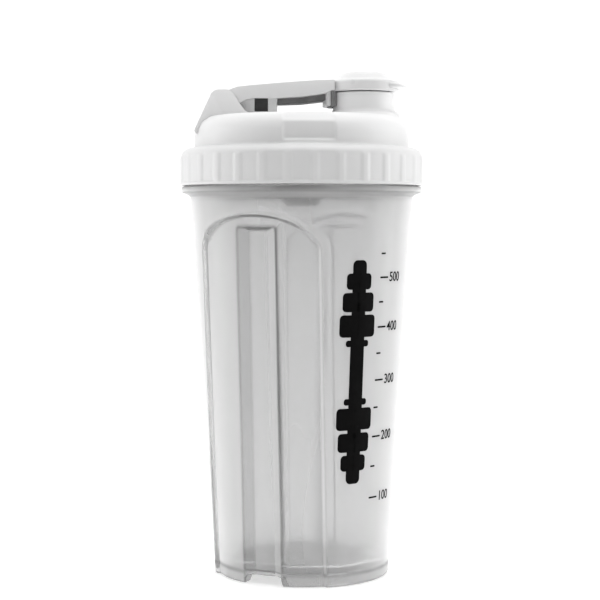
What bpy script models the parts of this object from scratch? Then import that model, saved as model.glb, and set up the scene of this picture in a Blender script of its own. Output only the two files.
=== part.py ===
"""Protein shaker bottle: a tapered cup, a screw lid with a spout and hinge ears, and a flip cap.

Sizes are given in millimetres and scaled to metres when a mesh is made. +Z is up, the origin is the
centre of the base on the surface that the bottle stands on, and the flip arm runs along X.
"""

from math import atan2, cos, pi, radians, sin

import bmesh
import bpy
from mathutils import Matrix, Vector

MM = 0.001
SEGMENTS = 60
GAP = 0.35

# Cup
BASE_R = 36.0
WALL_TOP_R = 45.7
WALL_TOP_Z = 155.0
WALL = 1.8
FLOOR_Z = 7.4
FLOOR_DOME = 1.0
FOOT_EDGE = 1.2
PUNT_R = 28.5
PUNT_DEPTH = 5.0
COLLAR_R = 49.3
COLLAR_Z = (157.3, 159.8)
NECK_R = 46.0
NECK_BORE_R = 44.2
RIM_Z = 171.0

# Grip panels, one on each side
PANEL_AZIMUTHS = (radians(-115), radians(65))
PANEL_HALF_WIDTH = 26.3
PANEL_SHIFT = (-1.2, -2.9)
PANEL_SPRING_Z = 134.0
PANEL_TOP_Z = 148.0
PANEL_DEPTH = 1.8
GROOVE_DEPTH = 4.6
GROOVE_TOP_Z = 143.0
GROOVE_SHIFT = (0.1, -1.5)
GROOVE_HALF_WIDTH = (8.8, 8.9)
GROOVE_FLOOR_HALF_WIDTH = (4.1, 5.2)
FOOT_NOTCH_Z = 3.4

# Screw thread
PITCH = 4.0
THREAD_Z = 163.4
THREAD_HEIGHT = 1.3
THREAD_BASE = 1.9
THREAD_TIP = 1.0
CUP_THREAD_TURNS = (0.0, 1.3)
LID_THREAD_TURNS = (0.36, 1.56)

# Lid
LID_R = 50.0
LID_BOTTOM_Z = 160.2
SKIRT_WALL = 2.2
FLUTE_DEPTH = 0.5
SHOULDER_Z = 175.6
DOME_R = 44.0
DOME_EDGE_R = 7.5
DOME_TOP_Z = 188.5
DOME_WALL = 2.0
GASKET_SEAT_Z = 172.7
SEAL_LIP_R = (42.0, 43.6)
SEAL_LIP_Z = 167.4
POCKET_AZIMUTHS = (radians(-86), radians(94))
POCKET_DISTANCE = 41.9
POCKET_HALF_WIDTH = 10.2
POCKET_BOTTOM_Z = 176.5
POCKET_TOP_Z = 184.6
POCKET_SLOPE = 0.93
SPOUT_X = 25.7
SPOUT_R = 12.6
SPOUT_BORE_R = 10.8
SPOUT_TOP_Z = 198.3
PLATFORM_R = (14.2, 19.0)
PLATFORM_Z = 190.4

# Hinge
PIVOT_X = -32.0
PIVOT_Z = 193.0
PIN_R = 1.5
PIN_HOLE_R = 1.9
EAR_INNER_Y = 10.8
EAR_OUTER_Y = 14.0
KNUCKLE_R = 4.0

# Flip cap
ARM_HALF_WIDTH = 10.4
KEEL_HALF_WIDTH = 6.0
BLOCK_HALF_WIDTH = 8.0
BLOCK_X = (-26.8, -9.3)
CAP_BOTTOM_Z = 198.7
CAP_SIDE_TOP_Z = 203.4
CAP_TOP_Z = 207.0
CAP_R = 14.4
LIP_TIP_X = 44.3
APRON_R = (13.1, 17.0)
APRON_HALF_ANGLE = radians(26)
APRON_BOTTOM_Z = 192.4

# Spout seal, gasket and strainer
SEAL_R = 10.3
SEAL_BOTTOM_Z = 194.6
GASKET_R = (43.95, 47.2)
GASKET_Z = (171.35, 172.35)
STRAINER_R = 41.6
STRAINER_Z = (167.7, 170.4)
PLATE_Z = (168.2, 169.6)
CONE_TOP_R = 19.5
CONE_BOTTOM_R = 6.2
CONE_BOTTOM_Z = 152.0
STRAINER_WALL = 1.4


def clear_scene():
    for obj in list(bpy.data.objects):
        bpy.data.objects.remove(obj)


def plastic(name, colour, roughness, metallic=0.0, alpha=1.0):
    """A Principled material."""
    mat = bpy.data.materials.new(name)
    mat.use_nodes = True
    shader = mat.node_tree.nodes["Principled BSDF"]
    shader.inputs["Base Color"].default_value = (*colour, 1.0)
    shader.inputs["Roughness"].default_value = roughness
    shader.inputs["Metallic"].default_value = metallic
    shader.inputs["Alpha"].default_value = alpha
    mat.diffuse_color = (*colour, alpha)
    return mat


def add_object(name, bm, origin=(0, 0, 0)):
    """Turns a bmesh in millimetres into an object in metres, with its origin at the given point."""
    bmesh.ops.recalc_face_normals(bm, faces=bm.faces)
    bmesh.ops.translate(bm, verts=bm.verts, vec=-Vector(origin))
    bmesh.ops.scale(bm, verts=bm.verts, vec=(MM, MM, MM))
    mesh = bpy.data.meshes.new(name)
    bm.to_mesh(mesh)
    bm.free()
    mesh.shade_smooth()
    mesh.set_sharp_from_angle(angle=radians(32))
    obj = bpy.data.objects.new(name, mesh)
    obj.location = Vector(origin) * MM
    bpy.context.scene.collection.objects.link(obj)
    return obj


def finish(obj, mat):
    obj.data.materials.clear()
    obj.data.materials.append(mat)


def combine(target, operand, operation):
    """Adds a Boolean modifier and leaves its operand out of the model."""
    operand.hide_render = True
    operand.display_type = "WIRE"
    modifier = target.modifiers.new(operand.name, "BOOLEAN")
    modifier.operation = operation
    modifier.object = operand
    modifier.solver = "EXACT"


def turned(profile, segments=SEGMENTS, centre=(0.0, 0.0), closed=False, radius_at=None, phase=0.0):
    """Spins an (r, z) outline about a vertical axis.

    An open outline starts and ends on the axis; a closed one makes a ring. radius_at may change a
    point's radius by its angle, and phase turns the facets by a share of one segment.
    """
    bm = bmesh.new()
    rings = []
    for r, z in profile:
        if r < 1e-6:
            rings.append([bm.verts.new((centre[0], centre[1], z))])
            continue
        ring = []
        for step in range(segments):
            angle = 2 * pi * (step + phase) / segments
            radius = radius_at(r, z, step) if radius_at else r
            ring.append(bm.verts.new((centre[0] + radius * cos(angle), centre[1] + radius * sin(angle), z)))
        rings.append(ring)
    pairs = list(zip(rings, rings[1:]))
    if closed:
        pairs.append((rings[-1], rings[0]))
    for upper, lower in pairs:
        for step in range(segments):
            following = (step + 1) % segments
            corners = [upper[step % len(upper)], upper[following % len(upper)]]
            corners += [lower[following % len(lower)], lower[step % len(lower)]]
            bm.faces.new(list(dict.fromkeys(corners)))
    return bm


def prism(outline, direction, start, end, bm=None):
    """Extrudes an outline of 3-D points from start to end along a direction."""
    bm = bm or bmesh.new()
    direction = Vector(direction)
    near = [bm.verts.new(Vector(p) + direction * start) for p in outline]
    far = [bm.verts.new(Vector(p) + direction * end) for p in outline]
    bm.faces.new(near)
    bm.faces.new(list(reversed(far)))
    for i in range(len(outline)):
        following = (i + 1) % len(outline)
        bm.faces.new((near[i], near[following], far[following], far[i]))
    return bm


def arc(centre, radius, start, end, steps):
    """Points (a, b) on an arc, in degrees, both ends included."""
    points = []
    for step in range(steps + 1):
        angle = radians(start + (end - start) * step / steps)
        points.append((centre[0] + radius * cos(angle), centre[1] + radius * sin(angle)))
    return points


def side_view(points):
    """Lifts (x, z) points into the plane y = 0."""
    return [(x, 0.0, z) for x, z in points]


def wall_r(z):
    """Outer radius of the cup's tapered wall at a height."""
    return BASE_R + (WALL_TOP_R - BASE_R) * z / WALL_TOP_Z


def helix_ridge(wall_radius, crest_radius, mid_z, turns):
    """A closed thread ridge, rooted inside its wall, whose height fades out at both ends."""
    bm = bmesh.new()
    steps = round((turns[1] - turns[0]) * SEGMENTS)
    first = turns[0] * SEGMENTS + 0.4
    fade = SEGMENTS // 12
    outward = 1 if crest_radius > wall_radius else -1
    buried = 0.9
    flank = (THREAD_BASE - THREAD_TIP) / 2 / THREAD_HEIGHT
    root_r = wall_radius - buried * outward
    root_half = THREAD_BASE / 2 + buried * flank
    sections = []
    for step in range(steps + 1):
        angle = 2 * pi * (first + step) / SEGMENTS
        centre_z = mid_z + PITCH * angle / (2 * pi)
        full = min(1.0, (step + 0.5) / fade, (steps - step + 0.5) / fade)
        crest_r = wall_radius + (crest_radius - wall_radius) * full
        crest_half = THREAD_BASE / 2 - THREAD_HEIGHT * full * flank
        corners = [(root_r, root_half), (crest_r, crest_half), (crest_r, -crest_half), (root_r, -root_half)]
        section = [bm.verts.new((r * cos(angle), r * sin(angle), centre_z + up)) for r, up in corners]
        sections.append(section)
    for here, there in zip(sections, sections[1:]):
        for i in range(4):
            following = (i + 1) % 4
            bm.faces.new((here[i], here[following], there[following], there[i]))
    bm.faces.new(sections[0])
    bm.faces.new(list(reversed(sections[-1])))
    return bm


def panel_frame(azimuth):
    """Turns (across, outward, up) into the cup's axes for a panel at an azimuth."""
    outward = Vector((cos(azimuth), sin(azimuth), 0))
    across = Vector((-sin(azimuth), cos(azimuth), 0))
    return Matrix((across, outward, Vector((0, 0, 1)))).transposed()


def panel_cutter(name, azimuth, grow, bottom_z):
    """The arched recess of a grip panel, down to a floor that follows the tapered wall."""
    half = PANEL_HALF_WIDTH + grow
    outline = [(PANEL_SHIFT[1] + half, bottom_z), (PANEL_SHIFT[1] - half, bottom_z)]
    for step in range(17):
        angle = pi - pi * step / 16
        rise = (PANEL_TOP_Z + grow - PANEL_SPRING_Z) * sin(angle)
        outline.append((PANEL_SHIFT[0] + half * cos(angle), PANEL_SPRING_Z + rise))
    frame = panel_frame(azimuth)
    points = [frame @ Vector((across, 0, up)) for across, up in outline]
    cutter = add_object(name, prism(points, frame @ Vector((0, 1, 0)), 15.0, 60.0))
    depth = PANEL_DEPTH + grow
    profile = [(0, 190), (wall_r(190) - depth, 190), (wall_r(-20) - depth, -20), (0, -20)]
    core = add_object(name + "_core", turned(profile, phase=0.4))
    combine(cutter, core, "DIFFERENCE")
    return cutter


def groove_cutter(name, azimuth, grow, bottom_z):
    """The straight groove down the middle of a grip panel, with sloping sides and top."""
    bm = bmesh.new()
    frame = panel_frame(azimuth)
    rise = 3.0
    corners = []
    for level, z in enumerate((GROOVE_TOP_Z + grow, bottom_z)):
        floor = GROOVE_FLOOR_HALF_WIDTH[level] + grow * 0.8
        mouth = GROOVE_HALF_WIDTH[level] + grow * 0.9
        spread = (mouth - floor) / (GROOVE_DEPTH - PANEL_DEPTH)
        outer = mouth + spread * (PANEL_DEPTH + 3.0)
        floor_z = z if level else z - rise
        outer_z = z if level else z + rise * 0.5
        middle = GROOVE_SHIFT[level]
        ring = [
            (middle + floor, wall_r(floor_z) - GROOVE_DEPTH - grow, floor_z),
            (middle - floor, wall_r(floor_z) - GROOVE_DEPTH - grow, floor_z),
            (middle - outer, wall_r(outer_z) + 3.0, outer_z),
            (middle + outer, wall_r(outer_z) + 3.0, outer_z),
        ]
        corners.append([bm.verts.new(frame @ Vector(point)) for point in ring])
    top, bottom = corners
    bm.faces.new(top)
    bm.faces.new(list(reversed(bottom)))
    for i in range(4):
        following = (i + 1) % 4
        bm.faces.new((top[i], bottom[i], bottom[following], top[following]))
    return add_object(name, bm)


def notch_cutter(name, azimuth):
    """The notch that a groove leaves in the foot ring."""
    frame = panel_frame(azimuth)
    half = GROOVE_HALF_WIDTH[1] - 0.6
    section = [(-half, -4), (half, -4), (half, FOOT_NOTCH_Z - 0.8), (half - 1.2, FOOT_NOTCH_Z)]
    section += [(1.2 - half, FOOT_NOTCH_Z), (-half, FOOT_NOTCH_Z - 0.8)]
    points = [frame @ Vector((GROOVE_SHIFT[1] + across, 0, up)) for across, up in section]
    return add_object(name, prism(points, frame @ Vector((0, 1, 0)), PUNT_R - 6, BASE_R + 4))


def make_cup():
    outer = [(0, PUNT_DEPTH + FLOOR_DOME), (PUNT_R - 6, PUNT_DEPTH + 0.3), (PUNT_R - 1, PUNT_DEPTH)]
    outer += [(PUNT_R, 0.6), (PUNT_R + 0.6, 0)]
    outer += arc((wall_r(FOOT_EDGE) - FOOT_EDGE, FOOT_EDGE), FOOT_EDGE, 270, 360, 3)
    outer += [(wall_r(z), z) for z in (40, 80, 120, WALL_TOP_Z)]
    outer += [(COLLAR_R - 0.5, COLLAR_Z[0]), (COLLAR_R, COLLAR_Z[0] + 0.5), (COLLAR_R, COLLAR_Z[1])]
    outer += [(NECK_R, COLLAR_Z[1]), (NECK_R, RIM_Z - 0.4), (NECK_R - 0.4, RIM_Z), (0, RIM_Z)]
    cup = add_object("cup_body", turned(outer))

    cavity_r = [(wall_r(z) - WALL, z) for z in (FLOOR_Z + 3.5, 60, 110, WALL_TOP_Z)]
    cavity = [(0, FLOOR_Z + FLOOR_DOME), (PUNT_R - 6, FLOOR_Z + 0.3), (wall_r(FLOOR_Z) - WALL - 3.0, FLOOR_Z)]
    cavity += [(wall_r(FLOOR_Z) - WALL - 0.8, FLOOR_Z + 1.0)] + cavity_r
    cavity += [(NECK_BORE_R, RIM_Z), (NECK_BORE_R, RIM_Z + 5), (0, RIM_Z + 5)]
    hollow = add_object("cup_hollow", turned(cavity))

    for side, azimuth in enumerate(PANEL_AZIMUTHS):
        combine(hollow, panel_cutter(f"panel_boss_{side}", azimuth, WALL, -5), "DIFFERENCE")
        combine(hollow, groove_cutter(f"groove_boss_{side}", azimuth, WALL, -5), "DIFFERENCE")
        combine(cup, panel_cutter(f"panel_{side}", azimuth, 0, -5), "DIFFERENCE")
        combine(cup, groove_cutter(f"groove_{side}", azimuth, 0, -5), "DIFFERENCE")
        combine(cup, notch_cutter(f"notch_{side}", azimuth), "DIFFERENCE")
    combine(cup, hollow, "DIFFERENCE")

    ridge = helix_ridge(NECK_R, NECK_R + THREAD_HEIGHT, THREAD_Z, CUP_THREAD_TURNS)
    combine(cup, add_object("cup_thread", ridge), "UNION")
    finish(cup, plastic("frosted_cup", (0.80, 0.81, 0.82), 0.4, alpha=0.6))


def fluted(r, z, step):
    """Skirt radius with a shallow flat flute on every second segment."""
    in_skirt = LID_BOTTOM_Z + 1.6 < z < SHOULDER_Z - 3.6 and r > LID_R - 0.3
    return r - FLUTE_DEPTH if in_skirt and step % 2 else r


def ear_outline():
    """Side view of a hinge ear, from its foot on the dome over its round top."""
    outline = [(-43.4, 180.5), (-43.4, 182.6), (-37.2, 195.6)]
    outline += arc((-33.4, 194.6), 4.2, 150, 95, 3)
    outline += arc((-30.6, 195.0), 3.8, 85, 40, 3)
    outline += [(-22.4, 190.2), (-20.4, 188.0), (-20.4, 185.6), (-30, 184)]
    return side_view(outline)


def pocket_prism(name, azimuth, wall):
    """The space of a finger pocket, or with a wall added, the thickened dome behind it."""
    frame = panel_frame(azimuth)
    near = POCKET_DISTANCE - wall
    bend_z = POCKET_TOP_Z - 0.45 * wall
    crest_z = DOME_TOP_Z + 1.7 - 1.5 * wall
    crest = near - (crest_z - bend_z) / POCKET_SLOPE
    bottom_z = POCKET_BOTTOM_Z - 0.9 * wall
    far = DOME_R + 3
    section = [(near, bottom_z), (near, bend_z), (crest, crest_z), (far, crest_z), (far, bottom_z)]
    points = [frame @ Vector((0, outward, up)) for outward, up in section]
    half_width = POCKET_HALF_WIDTH + wall
    return add_object(name, prism(points, frame @ Vector((1, 0, 0)), -half_width, half_width))


def make_lid():
    outer = [(0, DOME_TOP_Z)]
    outer += arc((DOME_R - DOME_EDGE_R, DOME_TOP_Z - DOME_EDGE_R), DOME_EDGE_R, 90, 0, 6)
    outer += [(DOME_R, SHOULDER_Z + 0.8), (DOME_R + 0.6, SHOULDER_Z)]
    outer += arc((LID_R - 4.4, SHOULDER_Z - 4.8), 4.4, 80, 0, 4)
    outer += [(LID_R, LID_BOTTOM_Z + 2.2), (LID_R, LID_BOTTOM_Z + 1.3), (LID_R, LID_BOTTOM_Z), (0, LID_BOTTOM_Z)]
    lid = add_object("lid_shell", turned(outer, radius_at=fluted))

    spout = [(0, SPOUT_TOP_Z), (SPOUT_R - 0.5, SPOUT_TOP_Z), (SPOUT_R, SPOUT_TOP_Z - 0.5)]
    spout += [(SPOUT_R, PLATFORM_Z), (PLATFORM_R[0], PLATFORM_Z), (PLATFORM_R[1], DOME_TOP_Z - 0.6)]
    spout += [(PLATFORM_R[1], DOME_TOP_Z - 6), (0, DOME_TOP_Z - 6)]
    spout_solid = add_object("spout_solid", turned(spout, 48, (SPOUT_X, 0)))
    within = [(0, 210), (DOME_R - 3.4, 210), (DOME_R - 3.4, 180), (0, 180)]
    combine(spout_solid, add_object("spout_limit", turned(within)), "INTERSECT")
    combine(lid, spout_solid, "UNION")

    for side in (-1, 1):
        ear = prism(ear_outline(), (0, side, 0), EAR_INNER_Y, EAR_OUTER_Y)
        combine(lid, add_object(f"ear_{side + 1}", ear), "UNION")

    for side, azimuth in enumerate(POCKET_AZIMUTHS):
        combine(lid, pocket_prism(f"pocket_{side}", azimuth, 0.0), "DIFFERENCE")

    inner_r = DOME_R - DOME_WALL
    ceiling_z = DOME_TOP_Z - DOME_WALL
    bore_r = LID_R - SKIRT_WALL
    hollow = [(0, ceiling_z)]
    hollow += arc((inner_r - 6, ceiling_z - 6), 6, 90, 0, 5)
    hollow += [(SEAL_LIP_R[0], SEAL_LIP_Z), (SEAL_LIP_R[1] - 0.4, SEAL_LIP_Z), (SEAL_LIP_R[1], SEAL_LIP_Z + 0.6)]
    hollow += [(SEAL_LIP_R[1], GASKET_SEAT_Z), (bore_r, GASKET_SEAT_Z), (bore_r, LID_BOTTOM_Z - 3)]
    hollow += [(0, LID_BOTTOM_Z - 3)]
    lid_hollow = add_object("lid_hollow", turned(hollow))
    for side, azimuth in enumerate(POCKET_AZIMUTHS):
        combine(lid_hollow, pocket_prism(f"backing_{side}", azimuth, DOME_WALL), "DIFFERENCE")
    combine(lid, lid_hollow, "DIFFERENCE")

    bore = [(0, 205), (SPOUT_BORE_R, 205), (SPOUT_BORE_R, 180), (0, 180)]
    combine(lid, add_object("spout_bore", turned(bore, 48, (SPOUT_X, 0))), "DIFFERENCE")

    hole = side_view(arc((PIVOT_X, PIVOT_Z), PIN_HOLE_R, 0, 345, 23))
    pin_hole = prism(hole, (0, 1, 0), -EAR_OUTER_Y + 1.2, EAR_OUTER_Y + 2)
    combine(lid, add_object("pin_hole", pin_hole), "DIFFERENCE")

    ridge = helix_ridge(bore_r, bore_r - THREAD_HEIGHT, THREAD_Z - PITCH / 2, LID_THREAD_TURNS)
    combine(lid, add_object("lid_thread", ridge), "UNION")
    finish(lid, plastic("white_lid", (0.82, 0.82, 0.82), 0.35))


def arm_outline():
    """Side view of the arm, from the knuckle round the pivot to the cap."""
    outline = arc((PIVOT_X, PIVOT_Z), KNUCKLE_R, 120, 290, 10)
    outline += [(-26.0, 193.6), (-25.0, 191.4), (-23.0, 189.9), (-21.0, 189.3)]
    outline += [(-11.6, 189.3), (-10.2, 190.2), (-9.7, 195.6)]
    outline += [(0.0, 196.1), (9.0, 197.5), (12.3, 198.9), (14.0, 198.9)]
    outline += [(14.0, 203.2), (6.0, 203.0), (-18.0, 201.0), (-27.4, 200.4)]
    return side_view(outline)


def cap_profile():
    profile = [(0, CAP_TOP_Z), (8.6, CAP_TOP_Z - 0.5), (10.6, CAP_TOP_Z - 1.6), (11.6, CAP_SIDE_TOP_Z + 0.4)]
    profile += [(CAP_R - 0.8, CAP_SIDE_TOP_Z), (CAP_R, CAP_SIDE_TOP_Z - 0.8), (CAP_R, CAP_BOTTOM_Z)]
    return profile + [(0, CAP_BOTTOM_Z)]


def lip_outline():
    """Plan of the thumb lip: the cap's round edge drawn out to a blunt tip."""
    half_angle = radians(38)
    edge = (SPOUT_X + (CAP_R - 1.2) * cos(half_angle), (CAP_R - 1.2) * sin(half_angle))
    tip = arc((LIP_TIP_X - 7.0, 0), 7.0, -52, 52, 8)
    return [(edge[0], -edge[1])] + tip + [edge, (SPOUT_X + 8, 0)]


def make_lip():
    """The thumb lip slopes down and thins towards its tip."""
    bm = bmesh.new()
    outline = lip_outline()
    start_x = SPOUT_X + CAP_R - 4
    upper, lower = [], []
    for x, y in outline:
        out = max(0.0, (x - start_x) / (LIP_TIP_X - start_x))
        upper.append(bm.verts.new((x, y, CAP_SIDE_TOP_Z - 0.3 - 2.1 * out)))
        lower.append(bm.verts.new((x, y, CAP_BOTTOM_Z + 0.3 + 0.6 * out)))
    bm.faces.new(list(reversed(lower)))
    bm.faces.new(upper)
    for i in range(len(outline)):
        following = (i + 1) % len(outline)
        bm.faces.new((lower[i], lower[following], upper[following], upper[i]))
    bmesh.ops.triangulate(bm, faces=bm.faces)
    return bm


def make_apron():
    """A short curved wall under the arm that hugs the spout's hinge side."""
    outline = []
    steps = 8
    for radius, order in ((APRON_R[0], 1), (APRON_R[1], -1)):
        for step in range(steps + 1):
            angle = pi + APRON_HALF_ANGLE * order * (2 * step / steps - 1)
            outline.append((SPOUT_X + radius * cos(angle), radius * sin(angle), 0))
    return prism(outline, (0, 0, 1), APRON_BOTTOM_Z, CAP_SIDE_TOP_Z - 1.2)


def make_flip_cap():
    pivot = (PIVOT_X, 0, PIVOT_Z)
    cap = add_object("flip_cap", prism(arm_outline(), (0, 1, 0), -ARM_HALF_WIDTH, ARM_HALF_WIDTH), pivot)
    beside_block = [(BLOCK_X[0], 185), (BLOCK_X[1], 185), (BLOCK_X[1], 195.2), (BLOCK_X[0], 194.7)]
    for side in (-1, 1):
        relief = prism(side_view(beside_block), (0, side, 0), BLOCK_HALF_WIDTH, ARM_HALF_WIDTH + 5)
        combine(cap, add_object(f"block_relief_{side + 1}", relief), "DIFFERENCE")
    keel = [(-12, 197.5), (-12, 193.9), (-10.0, 193.9), (10.6, 195.4), (12.0, 197.3), (12.0, 199.6)]
    combine(cap, add_object("keel", prism(side_view(keel), (0, 1, 0), -KEEL_HALF_WIDTH, KEEL_HALF_WIDTH)), "UNION")
    combine(cap, add_object("cap_disc", turned(cap_profile(), 48, (SPOUT_X, 0))), "UNION")
    combine(cap, add_object("thumb_lip", make_lip()), "UNION")
    combine(cap, add_object("apron", make_apron()), "UNION")
    hole = side_view(arc((PIVOT_X, PIVOT_Z), PIN_HOLE_R, 0, 345, 23))
    combine(cap, add_object("knuckle_hole", prism(hole, (0, 1, 0), -16, 16)), "DIFFERENCE")
    finish(cap, plastic("white_cap", (0.82, 0.82, 0.82), 0.35))


def make_hinge_pin():
    pin = side_view(arc((PIVOT_X, PIVOT_Z), PIN_R, 0, 345, 23))
    bm = prism(pin, (0, 1, 0), -EAR_OUTER_Y + 1.6, EAR_OUTER_Y)
    finish(add_object("hinge_pin", bm, (PIVOT_X, 0, PIVOT_Z)), plastic("pin_plastic", (0.6, 0.6, 0.6), 0.4))


def make_spout_seal():
    top_z = CAP_BOTTOM_Z - GAP
    profile = [(0, top_z), (SEAL_R, top_z), (SEAL_R, SEAL_BOTTOM_Z + 0.8), (SEAL_R - 0.8, SEAL_BOTTOM_Z)]
    profile += [(SEAL_R - 2.2, SEAL_BOTTOM_Z), (SEAL_R - 2.2, top_z - 1.6), (0, top_z - 1.6)]
    seal = add_object("spout_seal", turned(profile, 48, (SPOUT_X, 0)), (SPOUT_X, 0, top_z))
    finish(seal, plastic("soft_seal", (0.75, 0.76, 0.77), 0.6))


def make_gasket():
    inner, outer = GASKET_R
    low, high = GASKET_Z
    profile = [(inner, high), (outer, high), (outer, low), (inner, low)]
    finish(add_object("lid_gasket", turned(profile, closed=True)), plastic("silicone", (0.78, 0.79, 0.8), 0.6))


def strainer_slots():
    """Cutters for the slots through the plate and the cone, as one mesh of separate boxes."""
    bm = bmesh.new()
    plate_slots = 30
    for i in range(plate_slots):
        turn = Matrix.Rotation(2 * pi * (i + 0.5) / plate_slots, 3, "Z")
        start = 22.5 if i % 2 else 29.0
        corners = [(start, -1.5, 0), (38.2, -1.5, 0), (38.2, 1.5, 0), (start, 1.5, 0)]
        prism([turn @ Vector(p) for p in corners], (0, 0, 1), PLATE_Z[0] - 2, PLATE_Z[1] + 2, bm)
    cone_slots = 12
    for i in range(cone_slots):
        turn = Matrix.Rotation(2 * pi * (i + 0.5) / cone_slots, 3, "Z")
        outline = [(4, -1.7, 161.2), (24, -1.7, 161.2), (24, -1.7, 166.2), (4, -1.7, 166.2)]
        prism([turn @ Vector(p) for p in outline], turn @ Vector((0, 1, 0)), 0, 3.4, bm)
    return bm


def make_strainer():
    top, bottom = PLATE_Z[1], PLATE_Z[0]
    slope = atan2(CONE_TOP_R - CONE_BOTTOM_R, bottom - CONE_BOTTOM_Z)
    inset = STRAINER_WALL / cos(slope)
    profile = [(0, CONE_BOTTOM_Z + STRAINER_WALL), (CONE_BOTTOM_R - inset + 0.6, CONE_BOTTOM_Z + STRAINER_WALL)]
    profile += [(CONE_TOP_R - inset + 1.0, top), (STRAINER_R - 1.8, top), (STRAINER_R - 1.8, STRAINER_Z[1])]
    profile += [(STRAINER_R, STRAINER_Z[1]), (STRAINER_R, STRAINER_Z[0]), (STRAINER_R - 1.8, STRAINER_Z[0])]
    profile += [(STRAINER_R - 1.8, bottom), (CONE_TOP_R, bottom), (CONE_BOTTOM_R, CONE_BOTTOM_Z), (0, CONE_BOTTOM_Z)]
    strainer = add_object("mixing_strainer", turned(profile))
    combine(strainer, add_object("strainer_slots", strainer_slots()), "DIFFERENCE")
    finish(strainer, plastic("strainer_plastic", (0.3, 0.31, 0.32), 0.45))


clear_scene()
make_cup()
make_lid()
make_gasket()
make_strainer()
make_flip_cap()
make_spout_seal()
make_hinge_pin()
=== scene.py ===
"""Looks of the protein shaker bottle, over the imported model.

Lengths are in millimetres until a mesh is made. +Z is up and the flip arm runs along X, as in the
model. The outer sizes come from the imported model's boxes, and the rest repeat the model's own
sizes. A pair of sizes runs from low to high, or from inside to outside.
"""

from math import cos, pi, radians, sin

import bmesh
import bpy
import numpy as np
from mathutils import Matrix, Vector


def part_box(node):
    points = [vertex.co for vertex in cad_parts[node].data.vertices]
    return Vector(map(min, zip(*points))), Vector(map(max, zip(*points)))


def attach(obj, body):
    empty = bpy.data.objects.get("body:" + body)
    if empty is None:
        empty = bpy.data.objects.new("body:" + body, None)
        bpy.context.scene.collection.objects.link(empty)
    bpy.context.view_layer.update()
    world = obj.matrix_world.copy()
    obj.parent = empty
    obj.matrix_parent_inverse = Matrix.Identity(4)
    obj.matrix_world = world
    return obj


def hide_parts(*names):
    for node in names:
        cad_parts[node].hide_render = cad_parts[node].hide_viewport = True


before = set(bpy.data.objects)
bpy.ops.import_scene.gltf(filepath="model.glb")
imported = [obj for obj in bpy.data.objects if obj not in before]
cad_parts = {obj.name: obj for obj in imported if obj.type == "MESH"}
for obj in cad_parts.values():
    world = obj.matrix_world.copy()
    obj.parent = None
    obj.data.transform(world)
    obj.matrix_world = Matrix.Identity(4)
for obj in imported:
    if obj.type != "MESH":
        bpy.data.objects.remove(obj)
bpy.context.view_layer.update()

MM = 0.001


def span(node):
    """Lowest and highest corner of a node of the model, in millimetres."""
    low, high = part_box(node)
    return Vector(low) / MM, Vector(high) / MM


cup_high = span("cup_body")[1]
lid_low, lid_high = span("lid_shell")
cap_high = span("flip_cap")[1]
seal_low, seal_high = span("spout_seal")
pin_low, pin_high = span("hinge_pin")

# Cup
BASE_R = 36.0
WALL_TOP_R = 45.7
WALL_TOP_Z = 155.0
WALL = 1.8
FLOOR_Z = 7.4
FLOOR_DOME = 1.0
FLOOR_FILLET = 3.0
FOOT_EDGE = 1.2
PUNT_R = 28.5
PUNT_DEPTH = 5.0
PUNT_EDGE = 1.0
PUNT_FOOT_EDGE = 0.5
NECK_FLARE = ((45.75, 155.4), (46.0, 155.9), (46.6, 156.3), (47.6, 156.8))
COLLAR_R = cup_high.x
COLLAR_Z = (157.3, 159.8)
COLLAR_EDGE = (0.7, 0.5)
NECK_R = 46.0
NECK_BORE_R = 44.2
RIM_Z = cup_high.z

# Grip panels
PANEL_AZIMUTHS = (radians(-115), radians(65))
PANEL_HALF_WIDTH = 26.3
PANEL_SHIFT = (-2.9, -1.2)
PANEL_SPRING_Z = 134.0
PANEL_TOP_Z = 148.0
PANEL_DEPTH = 1.8
PANEL_EDGE = 0.65
GROOVE_DEPTH = 4.6
GROOVE_TOP_Z = 143.5
GROOVE_TOP_SLOPE = 1.7
GROOVE_SHIFT = (-1.5, 0.1)
GROOVE_HALF_WIDTH = (8.9, 8.8)
GROOVE_FLOOR_HALF_WIDTH = (5.2, 4.1)
NOTCH_HALF_WIDTH = 8.3
NOTCH_SIDE = 1.2
NOTCH_Z = 3.4
NOTCH_FADE_Z = 6.0

# Painted shade on the cup, from 0 to 1, at the grooves' edges, the foot, the collar and the floor's corner.
# Stops pair a height with a strength of painted shade.
PAINTED_SHADE = "painted_wall_shade"
EDGE_WIDTH = 0.75
TOP_EDGE_SHADE = 0.62
LEFT_EDGE_SHADE = 0.5
RIGHT_EDGE_STOPS = ((30.0, 0.6), (70.0, 1.0))
GROOVE_SIDE_SHADE = 0.22
FAR_PANEL_SHARE = 0.4
FOOT_LINE_Z = 4.9
FOOT_LINE_WIDTH = 0.8
FOOT_LINE_SHADE = 0.65
FOOT_SHADE = 0.25
COLLAR_STOPS = ((COLLAR_Z[0] - 0.5, 0.0), (COLLAR_Z[0] + 0.6, 0.05), (COLLAR_Z[1] - 0.4, 0.5))
FLOOR_CORNER_RISES = (0.2, 0.8, 5.8, 6.8)
FLOOR_CORNER_SHADES = (0.06, 0.12, 0.12, 0.0)

# Screw thread
PITCH = 4.0
THREAD_Z = 163.4
THREAD_HEIGHT = 1.3
THREAD_BASE = 1.9
THREAD_TIP = 1.0
THREAD_FADE = 12
CUP_THREAD_TURNS = (0.0, 1.3)
LID_THREAD_TURNS = (0.36, 1.56)

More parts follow.
